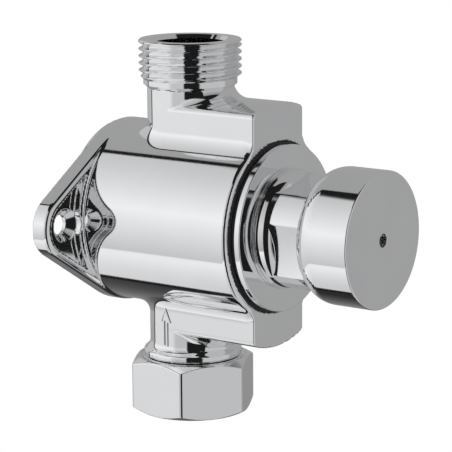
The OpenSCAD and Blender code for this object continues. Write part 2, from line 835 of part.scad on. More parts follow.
// Needle that meters the water past the piston
module timing_needle() {
    color([0.45, 0.46, 0.48]) forward() translate([needle_place, 0, piston_rear]) {
        cylinder(r = needle_r, h = piston_len, $fn = 32);
        translate([0, 0, piston_len]) cylinder(r = needle_r + needle_head_w, h = needle_head_t, $fn = 32);
    }
}

// Nut that clamps piston, sleeve, cup and washer against the spindle's collar
module piston_nut() {
    color([0.76, 0.62, 0.34]) forward() translate([0, 0, piston_rear + nut_gap]) difference() {
        cylinder(r = nut_out_r, h = nut_recess - nut_gap, $fn = 6);
        translate([0, 0, -cut]) cylinder(r = tail_r + seat_fit, h = nut_recess + 2 * cut);
    }
}

valve_body();
bonnet();
bonnet_o_ring();
stem_seal();
spring_plate();
seat_bush();
seat_o_ring();
timing_cylinder();
union_nut();
nut_retaining_ring();
inlet_gasket();
inlet_strainer();
push_button();
adjusting_screw();
spindle();
spring_cup();
spindle_clip();
return_spring();
seat_washer();
washer_cup();
spacer_sleeve();
piston();
piston_seal();
timing_needle();
piston_nut();
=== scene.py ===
import json
import math

import bpy
import numpy as np
from mathutils import Matrix, Vector


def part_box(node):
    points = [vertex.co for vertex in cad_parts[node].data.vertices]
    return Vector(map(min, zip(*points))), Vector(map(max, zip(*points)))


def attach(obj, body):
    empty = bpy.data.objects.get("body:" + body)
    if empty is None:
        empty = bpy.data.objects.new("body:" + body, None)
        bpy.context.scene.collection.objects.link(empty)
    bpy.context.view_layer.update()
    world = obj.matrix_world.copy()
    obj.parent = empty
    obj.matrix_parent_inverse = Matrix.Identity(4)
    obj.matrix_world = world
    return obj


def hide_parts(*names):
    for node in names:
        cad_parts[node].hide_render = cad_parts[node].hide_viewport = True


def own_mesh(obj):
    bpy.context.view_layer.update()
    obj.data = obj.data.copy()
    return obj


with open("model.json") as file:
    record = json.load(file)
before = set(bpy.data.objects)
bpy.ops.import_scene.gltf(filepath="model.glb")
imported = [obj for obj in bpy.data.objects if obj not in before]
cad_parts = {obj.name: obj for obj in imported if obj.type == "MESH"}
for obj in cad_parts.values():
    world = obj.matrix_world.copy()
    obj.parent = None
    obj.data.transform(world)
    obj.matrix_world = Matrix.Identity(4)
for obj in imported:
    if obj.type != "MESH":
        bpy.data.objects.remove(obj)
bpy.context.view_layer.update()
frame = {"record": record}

MM = 0.001

# Sizes, in millimetres. Depths count from the wall, along -Y. What a packed box can give is taken from it.


def node_box(node):
    low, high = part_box(node)
    return np.array(low) / MM, np.array(high) / MM


BODY_LOW, BODY_HIGH = node_box("valve_body")
BONNET_LOW = node_box("bonnet")[0]
BUTTON_LOW, BUTTON_HIGH = node_box("push_button")
NUT_LOW, NUT_HIGH = node_box("union_nut")
SPRING_LOW, SPRING_HIGH = node_box("return_spring")

# Edge roundings that several pieces share
TIGHT_EDGE = 0.05
FINE_EDGE = 0.1
SOFT_EDGE = 0.2
SHARP = 0.001

# Wall flange
RIM_H = 1.5
RIM_R = 23.6
RIM_OVERLAP = 1.0
RIM_ROUND = 0.3
EAR_REAR = 1.1
EAR_FRONT = 5.9
EAR_TIP_R = 8.3
EAR_CENTRE = BODY_HIGH[0] - EAR_TIP_R
EAR_ROUND = 1.3
EAR_REAR_ROUND = 0.3
FLANGE_R = 24.0
FLANGE_FILLET = 0.5
POCKET_DEPTH = 1.8
POCKET_FLOOR = EAR_FRONT - POCKET_DEPTH
POCKET_EDGE = 2.0
POCKET_CORNER = 0.4
POCKET_ROUND = 0.25
LEDGE_R = 25.0
SCREW_X = 28.5
SCREW_R = 2.5
SCREW_ROUND = 0.15
COUNTERSINK_R = 4.4
CONE_SCALE = 0.75

# Barrel and its chambers
BARREL_R = 23.4
BARREL_REAR_ROUND = 0.3
FRONT = -BODY_LOW[1]
FRONT_ROUND = 0.4
FRONT_CHAMFER = 0.8
FRONT_CHAMFER_ANGLE = 38.0
CHAMBER_R = 18.6
BACK_WALL = 5.0
BONNET_BORE_R = 19.0
BONNET_BORE_LEN = 7.0
RECESS_R = 21.8
RECESS_DEPTH = 1.5
RECESS_FLOOR = FRONT - RECESS_DEPTH

# Pipes and shoulders
PIPE_D = 23.0
PIPE_R = 11.1
SHOULDER_R = 31.7
LOWER_SHOULDER_R = 30.9
SHOULDER_ROUND = 0.9
SHOULDER_FILLET = 2.6
ROOT_FILLET = 4.0
ROOT_FADE_DEPTH = 5.0
ROOT_FADE_SIDE = 4.0
OUTLET_TOP = BODY_HIGH[2]
OUTLET_BORE_R = 9.2
OUTLET_FLOOR = 23.2
OUTLET_MOUTH = 1.0
STUB_LOW = BODY_LOW[2]
INLET_BORE_R = 8.0
INLET_OVERLAP = 2.0
COLLAR_R = 12.7
COLLAR_H = 1.8
COLLAR_LOW = NUT_HIGH[2] + 0.1
COLLAR_ROUND = 0.5
COLLAR_FILLET = 2.2

# Outlet thread, with the heights of its crests as the photo shows them
THREAD_R = 13.22
THREAD_ROOT_R = THREAD_R - 1.16
THREAD_PITCH = 1.814
THREAD_BASE = OUTLET_TOP - 11.4 - 0.8
TOP_CREST_Z = 44.54
TOP_CREST_ANGLE = -54.4
LAST_CREST_Z = 37.2
CREST_FLAT = 0.09
FLANK_SHARE = 0.82
FLANK_CURVE = 0.35

# Raised arrow on the lower pipe that shows the direction of flow
ARROW_ANGLE = 177.6
ARROW_TIP_Z = -22.8
ARROW_HEAD_Z = -26.1
ARROW_TAIL_Z = -32.4
ARROW_HEAD_W = 2.8
ARROW_SHAFT_W = 1.0
ARROW_LINE = 0.4
ARROW_RISE = 0.3
ARROW_ROOT = 0.3
ARROW_ROUND = 0.15
ARROW_ROOM_LOW = (0.8, 2.2, 0.6)
ARROW_ROOM_HIGH = (0.8, 2.2, 0.8)

# Union nut
NUT_AF = 29.2
NUT_TURN = 24.8
NUT_CORNER = 0.6
NUT_FACE_R = NUT_AF / 2 - 0.55
NUT_CHAMFER_ANGLE = 30.0
NUT_GROOVE_R = 13.5
NUT_GROOVE_W = 0.6
NUT_GROOVE_DEPTH = 0.7
NUT_LIP = 1.7
NUT_LIP_R = PIPE_R + 0.2
NUT_TOP = NUT_HIGH[2]
NUT_FOOT = NUT_LOW[2]
NUT_BORE_R = 12.06
NUT_ROOT_R = NUT_BORE_R + 0.9
NUT_SLEEVE_SEAT_R = NUT_BORE_R + 1.0
NUT_SLEEVE_R = NUT_BORE_R + 1.2
NUT_THREAD_LOW = NUT_FOOT + 0.5
NUT_THREAD_HIGH = NUT_FOOT + 6.2

# Bonnet
BONNET_FRONT = FRONT + 2.75
BONNET_R = 21.2
BONNET_ROUND = 0.3
BONNET_STEP = FRONT + 1.1
BONNET_STEP_R = 20.2
BONNET_STEP_ROUND = 0.15
BONNET_FOOT = RECESS_FLOOR + 0.02
SKIRT_R = BONNET_BORE_R - 0.05
SKIRT_REAR = FRONT - 4.9
# Ring of painted shade in the recess round the bonnet
SHADE_RING_GAP = 0.04
SHADE_RING_FRONT = FRONT - 0.3
SHADE_RING_ROUND = 0.25
NECK_COLLAR_R = 15.3
NECK_COLLAR_FRONT = BONNET_FRONT + 4.8
NECK_COLLAR_ROUND = 3.9
NECK_GROOVE_R = NECK_COLLAR_R - 0.35
NECK_GROOVE_REAR = BONNET_FRONT + 0.35
NECK_GROOVE_FRONT = BONNET_FRONT + 0.75
NECK_GROOVE_TAPER = 0.05
NECK_R = 14.65
NECK_ROUND = 0.5
NECK_OVERLAP = 1.0
NECK_FRONT = -BONNET_LOW[1]
SPRING_ROOM_R = 10.5
SPRING_ROOM_FRONT = NECK_FRONT - 3.5
FLATS_AF = 25.7
FLATS_TURN = 13.5
FLATS_ROUND = 0.12

# Button
BUTTON_STROKE = 6.5
BUTTON_R = BUTTON_HIGH[0] + 0.2
BUTTON_REAR = -BUTTON_HIGH[1]
BUTTON_FACE = -BUTTON_LOW[1]
BUTTON_FACE_ROUND = 0.4
BUTTON_BORE_R = 14.75
BUTTON_CEILING = BUTTON_FACE - 3.5
LIP_R = 15.3
FLARE_LEN = 4.8
FLARE_STEPS = 12
FLARE_ROUND = 0.02
FACE_HOLE_R = 1.7
FACE_HOLE_ROUND = 0.15
BOSS_R = 6.5
BOSS_REAR = NECK_FRONT + BUTTON_STROKE + 0.4
SPINDLE_FIT_R = 3.05
SPINDLE_FIT_FRONT = BOSS_REAR + 3.0

# Return spring
WIRE_R = 0.65
WIRE_SIDES = 16
WIRE_RINGS = 400
SPRING_R = 6.4
SPRING_TURNS = 5.5

# Detail of the meshes
BODY_STEP = 0.5
FINE_STEP = 0.25
ARROW_STEP = 0.08
ROUND_STEPS = 256
CORNER_STEPS = 6
THREAD_STEPS = 192
ROWS_PER_PITCH = 16
SLOPE_REACH = 0.02
LEAST_SLOPE = 0.2
NEWTON_STEPS = 4
THREAD_SMOOTH_ANGLE = 40.0
COIL_SMOOTH_ANGLE = 50.0

# Camera fitted to the photo
CAMERA_PLACE = (-0.4651, -0.3665, 0.1127)
CAMERA_AZIMUTH = -54.43
CAMERA_ELEVATION = 11.30
CAMERA_ROLL = -0.40
PHOTO_WIDTH_PX = 452
FOCAL_LENGTH_PX = 2272.9
SENSOR_WIDTH = 36.0
CLIP_START = 0.01

# Floor and lamp, in metres, watts and degrees
FLOOR_R = 0.42
FLOOR_Z = -0.30
FLOOR_STEPS = 96
LAMP_PLACE = (-0.5, -0.5, 1.0)
LAMP_TURN = (35, 0, -45)
LAMP_POWER = 6
LAMP_SIZE = 0.8

# Light of the studio by direction. Azimuths and elevations are in degrees, azimuths from across the dark gap.
# An edge is (start, end), and a span is (start, end, softness).
# A ramp is (start, end, light at start, light at end).
GAP_MIDDLE = 221.0
GAP_LEAN = 0.055
GAP_SHIFT = 0.01
GAP_WHITE_EDGE = (-0.06, -0.03)
GAP_GREY_EDGE = (0.02, 0.05)
WHITE_BELOW_RAMP = (-33, 10, 0.60, 0.95)
WHITE_ABOVE_RAMP = (10, 55, 0.95, 0.58)
WHITE_SIDE_RAMP = (119, 129, 1.0, 0.72)
WHITE_FLOOR_RAMP = (-65, -38, 0.55, 0.90)
WHITE_FOOT_EDGE = (-34.5, -33.0)
WHITE_NEAR_EDGE = (0, 20)
WHITE_FAR_EDGE = (157, 161)
WHITE_TOP_EDGE = (53.5, 56)
GREY_LOW_RAMP = (-56, -10, 0.015, 0.36)
GREY_HIGH_RAMP = (-64, 4, 0.04, 0.38)
GREY_FAR_LIGHT = 0.37
GREY_NEAR_EDGE = (-65, -35)
GREY_SPAN = (-91, 60, 6.0)
STRIP_AZIMUTH_SPAN = (17, 50, 4.0)
STRIP_ELEVATION_SPAN = (-14, 36, 6.0)
STRIP_LIGHT = 0.18
FRONT_RAMP = (25, 45, 0.55, 0.33)
FRONT_SPAN = (-162, -91, 6.0)
FRONT_TOP_EDGE = (50, 54)
DARKEST = 0.012


# Distance fields: negative inside, in millimetres


def join_round(a, b, radius):
    """Union of two shapes with a concave fillet between them."""
    u = np.maximum(radius - a, 0)
    v = np.maximum(radius - b, 0)
    return np.maximum(radius, np.minimum(a, b)) - np.sqrt(u * u + v * v)


def cut_round(a, b, radius):
    """Intersection of two shapes with a rounded edge between them."""
    u = np.maximum(radius + a, 0)
    v = np.maximum(radius + b, 0)
    return np.minimum(-radius, np.maximum(a, b)) + np.sqrt(u * u + v * v)


def slab(value, low, high):
    """Distance to the layer between two levels."""
    return np.abs(value - (low + high) / 2) - (high - low) / 2


def rhombus(x, z):
    """Distance to the flange's outline: a round middle and two round tips."""
    along, across = np.abs(x), np.abs(z)
    b = (FLANGE_R - EAR_TIP_R) / EAR_CENTRE
    a = math.sqrt(1 - b * b)
    k = -b * across + a * along
    middle = np.sqrt(along**2 + across**2) - FLANGE_R
    tip = np.sqrt((along - EAR_CENTRE) ** 2 + across**2) - EAR_TIP_R
    edge = a * across + b * along - FLANGE_R
    return np.where(k < 0, middle, np.where(k > a * EAR_CENTRE, tip, edge))


def body_field(x, y, z):
    """Casting of the tap, less its water ways."""
    depth = -y
    radial = np.sqrt(x**2 + z**2)
    behind = y + PIPE_D
    around_pipe = np.sqrt(x**2 + behind**2)
    column = np.sqrt(x**2 + np.maximum(behind, 0) ** 2) - PIPE_R

    slope = math.radians(FRONT_CHAMFER_ANGLE)
    past_chamfer = depth - FRONT + FRONT_CHAMFER
    chamfer = (radial - BARREL_R) * math.cos(slope) + past_chamfer * math.sin(slope)
    barrel = cut_round(radial - BARREL_R, chamfer, SOFT_EDGE)
    shoulder_r = np.where(z > 0, SHOULDER_R, LOWER_SHOULDER_R)
    shoulders = cut_round(column, radial - shoulder_r, SHOULDER_ROUND)
    shape = join_round(barrel, shoulders, SHOULDER_FILLET)
    shape = cut_round(shape, depth - FRONT, FRONT_ROUND)
    shape = cut_round(shape, -depth, BARREL_REAR_ROUND)

    # The outlet pipe grows out of the upper shoulder with a fillet that fades out at its sides
    fade = np.clip(-behind / ROOT_FADE_DEPTH, 0, 1)
    fade = fade * np.clip((PIPE_R - np.abs(x)) / ROOT_FADE_SIDE, 0, 1)
    pipe = np.maximum(around_pipe - PIPE_R, slab(z, STUB_LOW, THREAD_BASE))
    shape = join_round(shape, pipe, ROOT_FILLET * fade + SHARP)

    # The collar over the nut has a fillet above it only
    collar = slab(z, COLLAR_LOW, COLLAR_LOW + COLLAR_H)
    collar = cut_round(around_pipe - COLLAR_R, collar, COLLAR_ROUND)
    shape = join_round(shape, collar, COLLAR_FILLET * np.clip(z - COLLAR_LOW, 0, 1) + SHARP)

    # Flange with its pockets and countersunk holes
    outline = rhombus(x, z)
    flange = cut_round(outline, EAR_REAR - depth, EAR_REAR_ROUND)
    flange = cut_round(flange, depth - EAR_FRONT, EAR_ROUND)
    pocket = cut_round(outline + POCKET_EDGE, LEDGE_R - radial, POCKET_CORNER)
    pocket = np.maximum(pocket, POCKET_FLOOR - depth)
    flange = cut_round(flange, -pocket, POCKET_ROUND)
    shape = join_round(shape, flange, FLANGE_FILLET)
    rim = cut_round(radial - RIM_R, slab(depth, 0, RIM_H + RIM_OVERLAP), RIM_ROUND)
    shape = np.minimum(shape, rim)
    around_screw = np.sqrt((np.abs(x) - SCREW_X) ** 2 + z**2)
    sink = (around_screw - COUNTERSINK_R + np.maximum(POCKET_FLOOR - depth, 0)) * CONE_SCALE
    shape = cut_round(shape, -np.minimum(around_screw - SCREW_R, sink), SCREW_ROUND)

    # Recess round the bonnet, and the water ways
    recess = np.maximum(radial - RECESS_R, RECESS_FLOOR - depth)
    shape = cut_round(shape, -recess, SOFT_EDGE)
    chamber = np.maximum(radial - CHAMBER_R, BACK_WALL - depth)
    bonnet_bore = np.maximum(radial - BONNET_BORE_R, FRONT - BONNET_BORE_LEN - depth)
    outlet = np.maximum(around_pipe - OUTLET_BORE_R, OUTLET_FLOOR - z)
    inlet = np.maximum(around_pipe - INLET_BORE_R, z + CHAMBER_R - INLET_OVERLAP)
    inside = np.minimum(np.minimum(chamber, bonnet_bore), np.minimum(outlet, inlet))
    return np.maximum(shape, -inside)


def arrow_field(x, y, z):
    """Outline of an upward arrow, raised on the lower pipe."""
    behind = y + PIPE_D
    around_pipe = np.sqrt(x**2 + behind**2)
    turn = np.arctan2(behind, x) % (2 * math.pi) - math.radians(ARROW_ANGLE)
    side = np.abs(turn) * PIPE_R
    head_len = ARROW_TIP_Z - ARROW_HEAD_Z
    flank = (z - ARROW_TIP_Z) * ARROW_HEAD_W / 2 + side * head_len
    head = np.maximum(flank / math.hypot(ARROW_HEAD_W / 2, head_len), ARROW_HEAD_Z - z)
    shaft = np.maximum(side - ARROW_SHAFT_W / 2, slab(z, ARROW_TAIL_Z, ARROW_HEAD_Z + 1))
    line = np.abs(np.minimum(head, shaft)) - ARROW_LINE / 2
    shape = cut_round(line, around_pipe - PIPE_R - ARROW_RISE, ARROW_ROUND)
    return np.maximum(shape, PIPE_R - ARROW_ROOT - around_pipe)


def neck_field(x, y, z):
    """Round neck with four wrench flats, hollow for the spring and bored for the spindle."""
    depth = -y
    radial = np.sqrt(x**2 + z**2)
    neck = slab(depth, BONNET_FRONT - NECK_OVERLAP, NECK_FRONT)
    neck = cut_round(radial - NECK_R, neck, NECK_ROUND)
    for side in range(4):
        angle = math.radians(FLATS_TURN + 90 * side)
        across = x * math.cos(angle) + z * math.sin(angle)
        neck = cut_round(neck, across - FLATS_AF / 2, FLATS_ROUND)
    room = np.maximum(radial - SPRING_ROOM_R, depth - SPRING_ROOM_FRONT)
    return np.maximum(neck, -np.minimum(radial - SPINDLE_FIT_R, room))


def nut_field(x, y, z):
    """Hexagon with turned chamfers, a groove in its top and a lip that hangs on the stub."""
    behind = y + PIPE_D
    radial = np.sqrt(x**2 + behind**2)
    sides = []
    for side in range(3):
        angle = math.radians(NUT_TURN + 30 + 60 * side)
        across = x * math.cos(angle) + behind * math.sin(angle)
        sides.append(np.abs(across) - NUT_AF / 2)
    shape = cut_round(cut_round(sides[0], sides[1], NUT_CORNER), sides[2], NUT_CORNER)
    slope = math.radians(NUT_CHAMFER_ANGLE)
    for height in (z - NUT_TOP, NUT_FOOT - z):
        cone = (height + (radial - NUT_FACE_R) * math.tan(slope)) * math.cos(slope)
        shape = cut_round(shape, cone, SOFT_EDGE)
        shape = cut_round(shape, height, SOFT_EDGE)
    groove = np.abs(radial - NUT_GROOVE_R) - NUT_GROOVE_W / 2
    groove = np.maximum(groove, NUT_TOP - NUT_GROOVE_DEPTH - z)
    shape = cut_round(shape, -groove, FINE_EDGE)
    bore = np.maximum(radial - NUT_SLEEVE_SEAT_R, z - NUT_TOP + NUT_LIP)
    return np.maximum(shape, -np.minimum(bore, radial - NUT_LIP_R))


# Meshes


def surface_net(field, low, high, step):
    """Closed quad mesh of a distance field's zero surface, with its exact normals."""
    axes = [np.arange(low[i] - 2 * step, high[i] + 3 * step, step) for i in range(3)]
    gx, gy, gz = np.meshgrid(*axes, indexing="ij", sparse=True)
    value = np.asarray(field(gx, gy, gz), dtype=np.float32)
    inside = value < 0
    nx, ny, nz = (size - 1 for size in inside.shape)
    corners = [(i, j, k) for i in (0, 1) for j in (0, 1) for k in (0, 1)]
    count = sum(inside[i : nx + i, j : ny + j, k : nz + k].astype(np.int8) for i, j, k in corners)
    cells = np.argwhere((count > 0) & (count < 8))
    index = np.full(count.shape, -1, dtype=np.int64)
    index[tuple(cells.T)] = np.arange(len(cells))

    # One point a cell, at the mean of where the surface crosses the cell's edges
    at = {c: value[cells[:, 0] + c[0], cells[:, 1] + c[1], cells[:, 2] + c[2]] for c in corners}
    total = np.zeros((len(cells), 3))
    hits = np.zeros(len(cells))
    for a in corners:
        for axis in range(3):
            if a[axis]:
                continue
            b = tuple(1 if i == axis else a[i] for i in range(3))
            crosses = (at[a] < 0) != (at[b] < 0)
            t = np.where(crosses, at[a] / np.where(crosses, at[a] - at[b], 1), 0)
            point = np.array(a, dtype=float) + np.outer(t, np.array(b) - np.array(a))
            total += point * crosses[:, None]
            hits += crosses
    origin = np.array([axis[0] for axis in axes])
    points = origin + (cells + total / hits[:, None]) * step

    # Newton steps onto the true surface
    for _ in range(NEWTON_STEPS):
        distance, normal = value_and_slope(field, points)
        length = np.maximum(np.sum(normal**2, axis=1), LEAST_SLOPE)
        move = (distance / length)[:, None] * normal
        points = points - np.clip(move, -step / 3, step / 3)
    _, normal = value_and_slope(field, points)
    normal /= np.maximum(np.linalg.norm(normal, axis=1), 1e-9)[:, None]

    # One quad for each grid edge that the surface crosses
    faces = []
    for axis in range(3):
        lower = [slice(None)] * 3
        upper = [slice(None)] * 3
        lower[axis] = slice(0, -1)
        upper[axis] = slice(1, None)
        first, second = inside[tuple(lower)], inside[tuple(upper)]
        u, v = (axis + 1) % 3, (axis + 2) % 3
        for starts_inside in (True, False):
            edges = np.argwhere((first != second) & (first == starts_inside))
            ring = []
            for du, dv in ((0, 0), (-1, 0), (-1, -1), (0, -1)):
                cell = edges.copy()
                cell[:, u] += du
                cell[:, v] += dv
                ring.append(index[tuple(cell.T)])
            quad = np.stack(ring if starts_inside else ring[::-1], axis=1)
            faces.append(quad[(quad >= 0).all(axis=1)])
    return points, np.concatenate(faces), normal


def value_and_slope(field, points):
    e = SLOPE_REACH
    x, y, z = points.T
    slope = np.stack([
        field(x + e, y, z) - field(x - e, y, z),
        field(x, y + e, z) - field(x, y - e, z),
        field(x, y, z + e) - field(x, y, z - e),
    ], axis=1) / (2 * e)
    return field(x, y, z), slope


def make_mesh(name, points, faces, normals=None):
    mesh = bpy.data.meshes.new(name)
    mesh.from_pydata((np.asarray(points) * MM).tolist(), [], np.asarray(faces).tolist())
    mesh.validate()
    mesh.polygons.foreach_set("use_smooth", [True] * len(mesh.polygons))
    if normals is not None:
        mesh.normals_split_custom_set_from_vertices(np.asarray(normals).tolist())
    mesh.update()
    obj = bpy.data.objects.new(name, mesh)
    bpy.context.scene.collection.objects.link(obj)
    return obj


def round_outline(corners):
    """Closed outline of (radius, depth, rounding) corners, as points with their normals."""
    area = sum(a[0] * b[1] - b[0] * a[1] for a, b in zip(corners, corners[1:] + corners[:1]))
    if area < 0:
        corners = corners[::-1]
    points, normals = [], []
    for i, (r, d, rounding) in enumerate(corners):
        here = np.array([r, d], dtype=float)
        before = np.array(corners[i - 1][:2], dtype=float) - here
        after = np.array(corners[(i + 1) % len(corners)][:2], dtype=float) - here
        before /= np.linalg.norm(before)
        after /= np.linalg.norm(after)
        half = math.acos(float(np.clip(before @ after, -1, 1))) / 2
        reach = rounding / math.tan(half)
        inward = (before + after) / np.linalg.norm(before + after)
        middle = here + inward * rounding / math.sin(half)
        turn = before[0] * after[1] - before[1] * after[0]
        start = here + before * reach - middle
        end = here + after * reach - middle
        for step in range(CORNER_STEPS + 1):
            t = step / CORNER_STEPS
            spoke = start * (1 - t) + end * t
            spoke = spoke / np.linalg.norm(spoke) * rounding
            points.append(middle + spoke)
            outward = spoke / rounding
            normals.append(outward if turn < 0 else -outward)
    return np.array(points), np.array(normals)


def revolve(name, corners):
    """Ring swept by a closed outline about the button's axis."""
    outline, slopes = round_outline(corners)
    angles = np.arange(ROUND_STEPS) * 2 * math.pi / ROUND_STEPS
    cos, sin = np.cos(angles)[:, None], np.sin(angles)[:, None]

    def swept(pairs):
        r, d = pairs[:, 0][None, :], pairs[:, 1][None, :]
        return np.stack([cos * r, np.zeros_like(cos * r) - d, sin * r], axis=2).reshape(-1, 3)

    points, normals = swept(outline), swept(slopes)
    count = outline.shape[0]
    ring = np.arange(ROUND_STEPS)[:, None] * count
    ahead = (np.arange(ROUND_STEPS)[:, None] + 1) % ROUND_STEPS * count
    here = np.arange(count)[None, :]
    after = (here + 1) % count
    faces = np.stack([ring + here, ahead + here, ahead + after, ring + after], axis=2).reshape(-1, 4)
    a, b, c = points[faces[:, 0]], points[faces[:, 1]], points[faces[:, 2]]
    facing = np.sum(np.cross(b - a, c - b) * normals[faces].mean(axis=1), axis=1).sum()
    if facing < 0:
        faces = faces[:, ::-1]
    return make_mesh(name, points, faces, normals)


def thread_sleeve(name, crest_r, root_r, low, high, other_r, inward=False, mouth=0.0):
    """Tube with a helical thread on its outer side, or on its inner side when inward."""
    steps = THREAD_STEPS
    rows = int((high - low) / THREAD_PITCH * ROWS_PER_PITCH)
    angles = np.arange(steps) * 2 * math.pi / steps
    heights = np.linspace(low, high, rows)

    def fade_in(value, start, length):
        return np.clip((value - start) / length, 0, 1)[:, None]

    turns = (angles[None, :] - math.radians(TOP_CREST_ANGLE)) / (2 * math.pi)
    phase = (heights[:, None] - TOP_CREST_Z) / THREAD_PITCH - turns
    wave = np.abs((phase % 1) * 2 - 1)
    flank = np.clip((wave - CREST_FLAT) / FLANK_SHARE, 0, 1)
    flank = flank * flank * (3 - 2 * flank) * FLANK_CURVE + flank * (1 - FLANK_CURVE)
    depth = abs(crest_r - root_r)
    if inward:
        # The nut's thread fades out at both ends
        ends_fade = fade_in(heights, low + 0.6, 1.4) * fade_in(high - heights, 0.25, 0.8)
        radius = root_r - depth * flank * ends_fade
    else:
        # The outlet's thread has a run-out below, and a plain chamfered rim at its top
        run_out = fade_in(heights, LAST_CREST_Z - 1.2, 0.9)
        rim = fade_in(heights, high - 1.1, 0.6)
        base_r = PIPE_R + (root_r - PIPE_R) * fade_in(heights, low, 0.8)
        radius = base_r + depth * np.maximum(flank * run_out, rim)
        radius -= np.clip(heights - high + 0.3, 0, 0.3)[:, None]

    def ring(r, level):
        level = level + np.zeros_like(angles)
        return np.stack([r * np.cos(angles), r * np.sin(angles) - PIPE_D, level], axis=-1)

    rings = [ring(radius[row], heights[row]) for row in range(rows)]
    rings.append(ring(radius[-1], high))
    rings.append(ring(other_r + mouth, high))
    if mouth:
        rings.append(ring(other_r, high - mouth))
    rings.append(ring(other_r, low))
    rings.append(ring(radius[0], low))
    starts = np.arange(len(rings)) * steps
    here = np.arange(steps)
    after = (here + 1) % steps
    faces = []
    for first, second in zip(starts, np.roll(starts, -1)):
        faces.append(np.stack([first + here, first + after, second + after, second + here], axis=1))
    faces = np.concatenate(faces)
    if inward:
        faces = faces[:, ::-1]
    obj = make_mesh(name, np.concatenate(rings), faces)
    obj.data.set_sharp_from_angle(angle=math.radians(THREAD_SMOOTH_ANGLE))
    return obj


# Materials


class Nodes:
    """Short way to write a material's node tree."""

    def __init__(self, name):
        self.material = bpy.data.materials.new(name)
        self.material.use_nodes = True
        self.tree = self.material.node_tree
        self.shader = self.tree.nodes["Principled BSDF"]

    def add(self, kind, **values):
        made = self.tree.nodes.new(kind)
        for key, value in values.items():
            if key in made.inputs:
                made.inputs[key].default_value = value
            else:
                setattr(made, key, value)
        return made

    def link(self, source, target):
        self.tree.links.new(source, target)

    def set(self, **values):
        for key, value in values.items():
            self.shader.inputs[key.replace("_", " ")].default_value = value

    def noise(self, scale, detail=3.0, stretch=None):
        place = self.add("ShaderNodeTexCoord")
        noise = self.add("ShaderNodeTexNoise", Scale=scale, Detail=detail)
        if stretch:
            mapping = self.add("ShaderNodeMapping", Scale=stretch)
            self.link(place.outputs["Object"], mapping.inputs["Vector"])
            self.link(mapping.outputs["Vector"], noise.inputs["Vector"])
        else:
            self.link(place.outputs["Object"], noise.inputs["Vector"])
        return noise.outputs["Fac"]

    def colour(self, value, dark, light):
        mix = self.add("ShaderNodeMix", data_type="RGBA")
        mix.inputs["A"].default_value = (*dark, 1)
        mix.inputs["B"].default_value = (*light, 1)
        self.link(value, mix.inputs["Factor"])
        self.link(mix.outputs["Result"], self.shader.inputs["Base Color"])

    def roughness(self, value, low, high):
        spread = self.add("ShaderNodeMapRange")
        spread.inputs["From Min"].default_value = 0.3
        spread.inputs["From Max"].default_value = 0.7
        spread.inputs["To Min"].default_value = low
        spread.inputs["To Max"].default_value = high
        self.link(value, spread.inputs["Value"])
        self.link(spread.outputs["Result"], self.shader.inputs["Roughness"])

    def bump(self, value, strength, distance):
        bump = self.add("ShaderNodeBump", Strength=strength, Distance=distance)
        self.link(value, bump.inputs["Height"])
        self.link(bump.outputs["Normal"], self.shader.inputs["Normal"])


def chrome(name, wave=0.0):
    """Polished chrome, with the slight waves of a casting where asked."""
    made = Nodes(name)
    made.set(Metallic=1.0)
    made.colour(made.noise(90.0), dark=(0.86, 0.865, 0.88), light=(0.92, 0.925, 0.935))
    made.roughness(made.noise(900.0, detail=5.0), 0.03, 0.075)
    if wave:
        made.bump(made.noise(60.0, detail=1.5), wave, 0.0004)
    return made.material


def grained(name, noise, dark, light, rough, metallic=0.0, bump=None):
    """Finish whose colour, roughness and bump follow one noise."""
    made = Nodes(name)
    made.set(Metallic=metallic)
    grain = made.noise(**noise)
    made.colour(grain, dark, light)
    made.roughness(grain, *rough)
    if bump:
        made.bump(grain, *bump)
    return made.material


def dress(obj, material):
    obj.data.materials.clear()
    obj.data.materials.append(material)


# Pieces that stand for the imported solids


def add_piece(obj, body, material, node=None):
    dress(obj, material)
    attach(obj, body)
    if node:
        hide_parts(node)
    return obj


def build_body(material):
    points, faces, normals = surface_net(body_field, BODY_LOW, BODY_HIGH, BODY_STEP)
    casting = make_mesh("body_casting", points, faces, normals)
    add_piece(casting, "tap_body", material, "valve_body")
    sleeve = thread_sleeve(
        "outlet_thread", THREAD_R, THREAD_ROOT_R, THREAD_BASE, OUTLET_TOP, OUTLET_BORE_R, mouth=OUTLET_MOUTH)
    add_piece(sleeve, "tap_body", material)
    middle = math.radians(ARROW_ANGLE)
    x, y = PIPE_R * math.cos(middle), PIPE_R * math.sin(middle) - PIPE_D
    low = np.array([x, y, ARROW_TAIL_Z]) - ARROW_ROOM_LOW
    high = np.array([x, y, ARROW_TIP_Z]) + ARROW_ROOM_HIGH
    points, faces, normals = surface_net(arrow_field, low, high, ARROW_STEP)
    add_piece(make_mesh("flow_arrow", points, faces, normals), "tap_body", material)


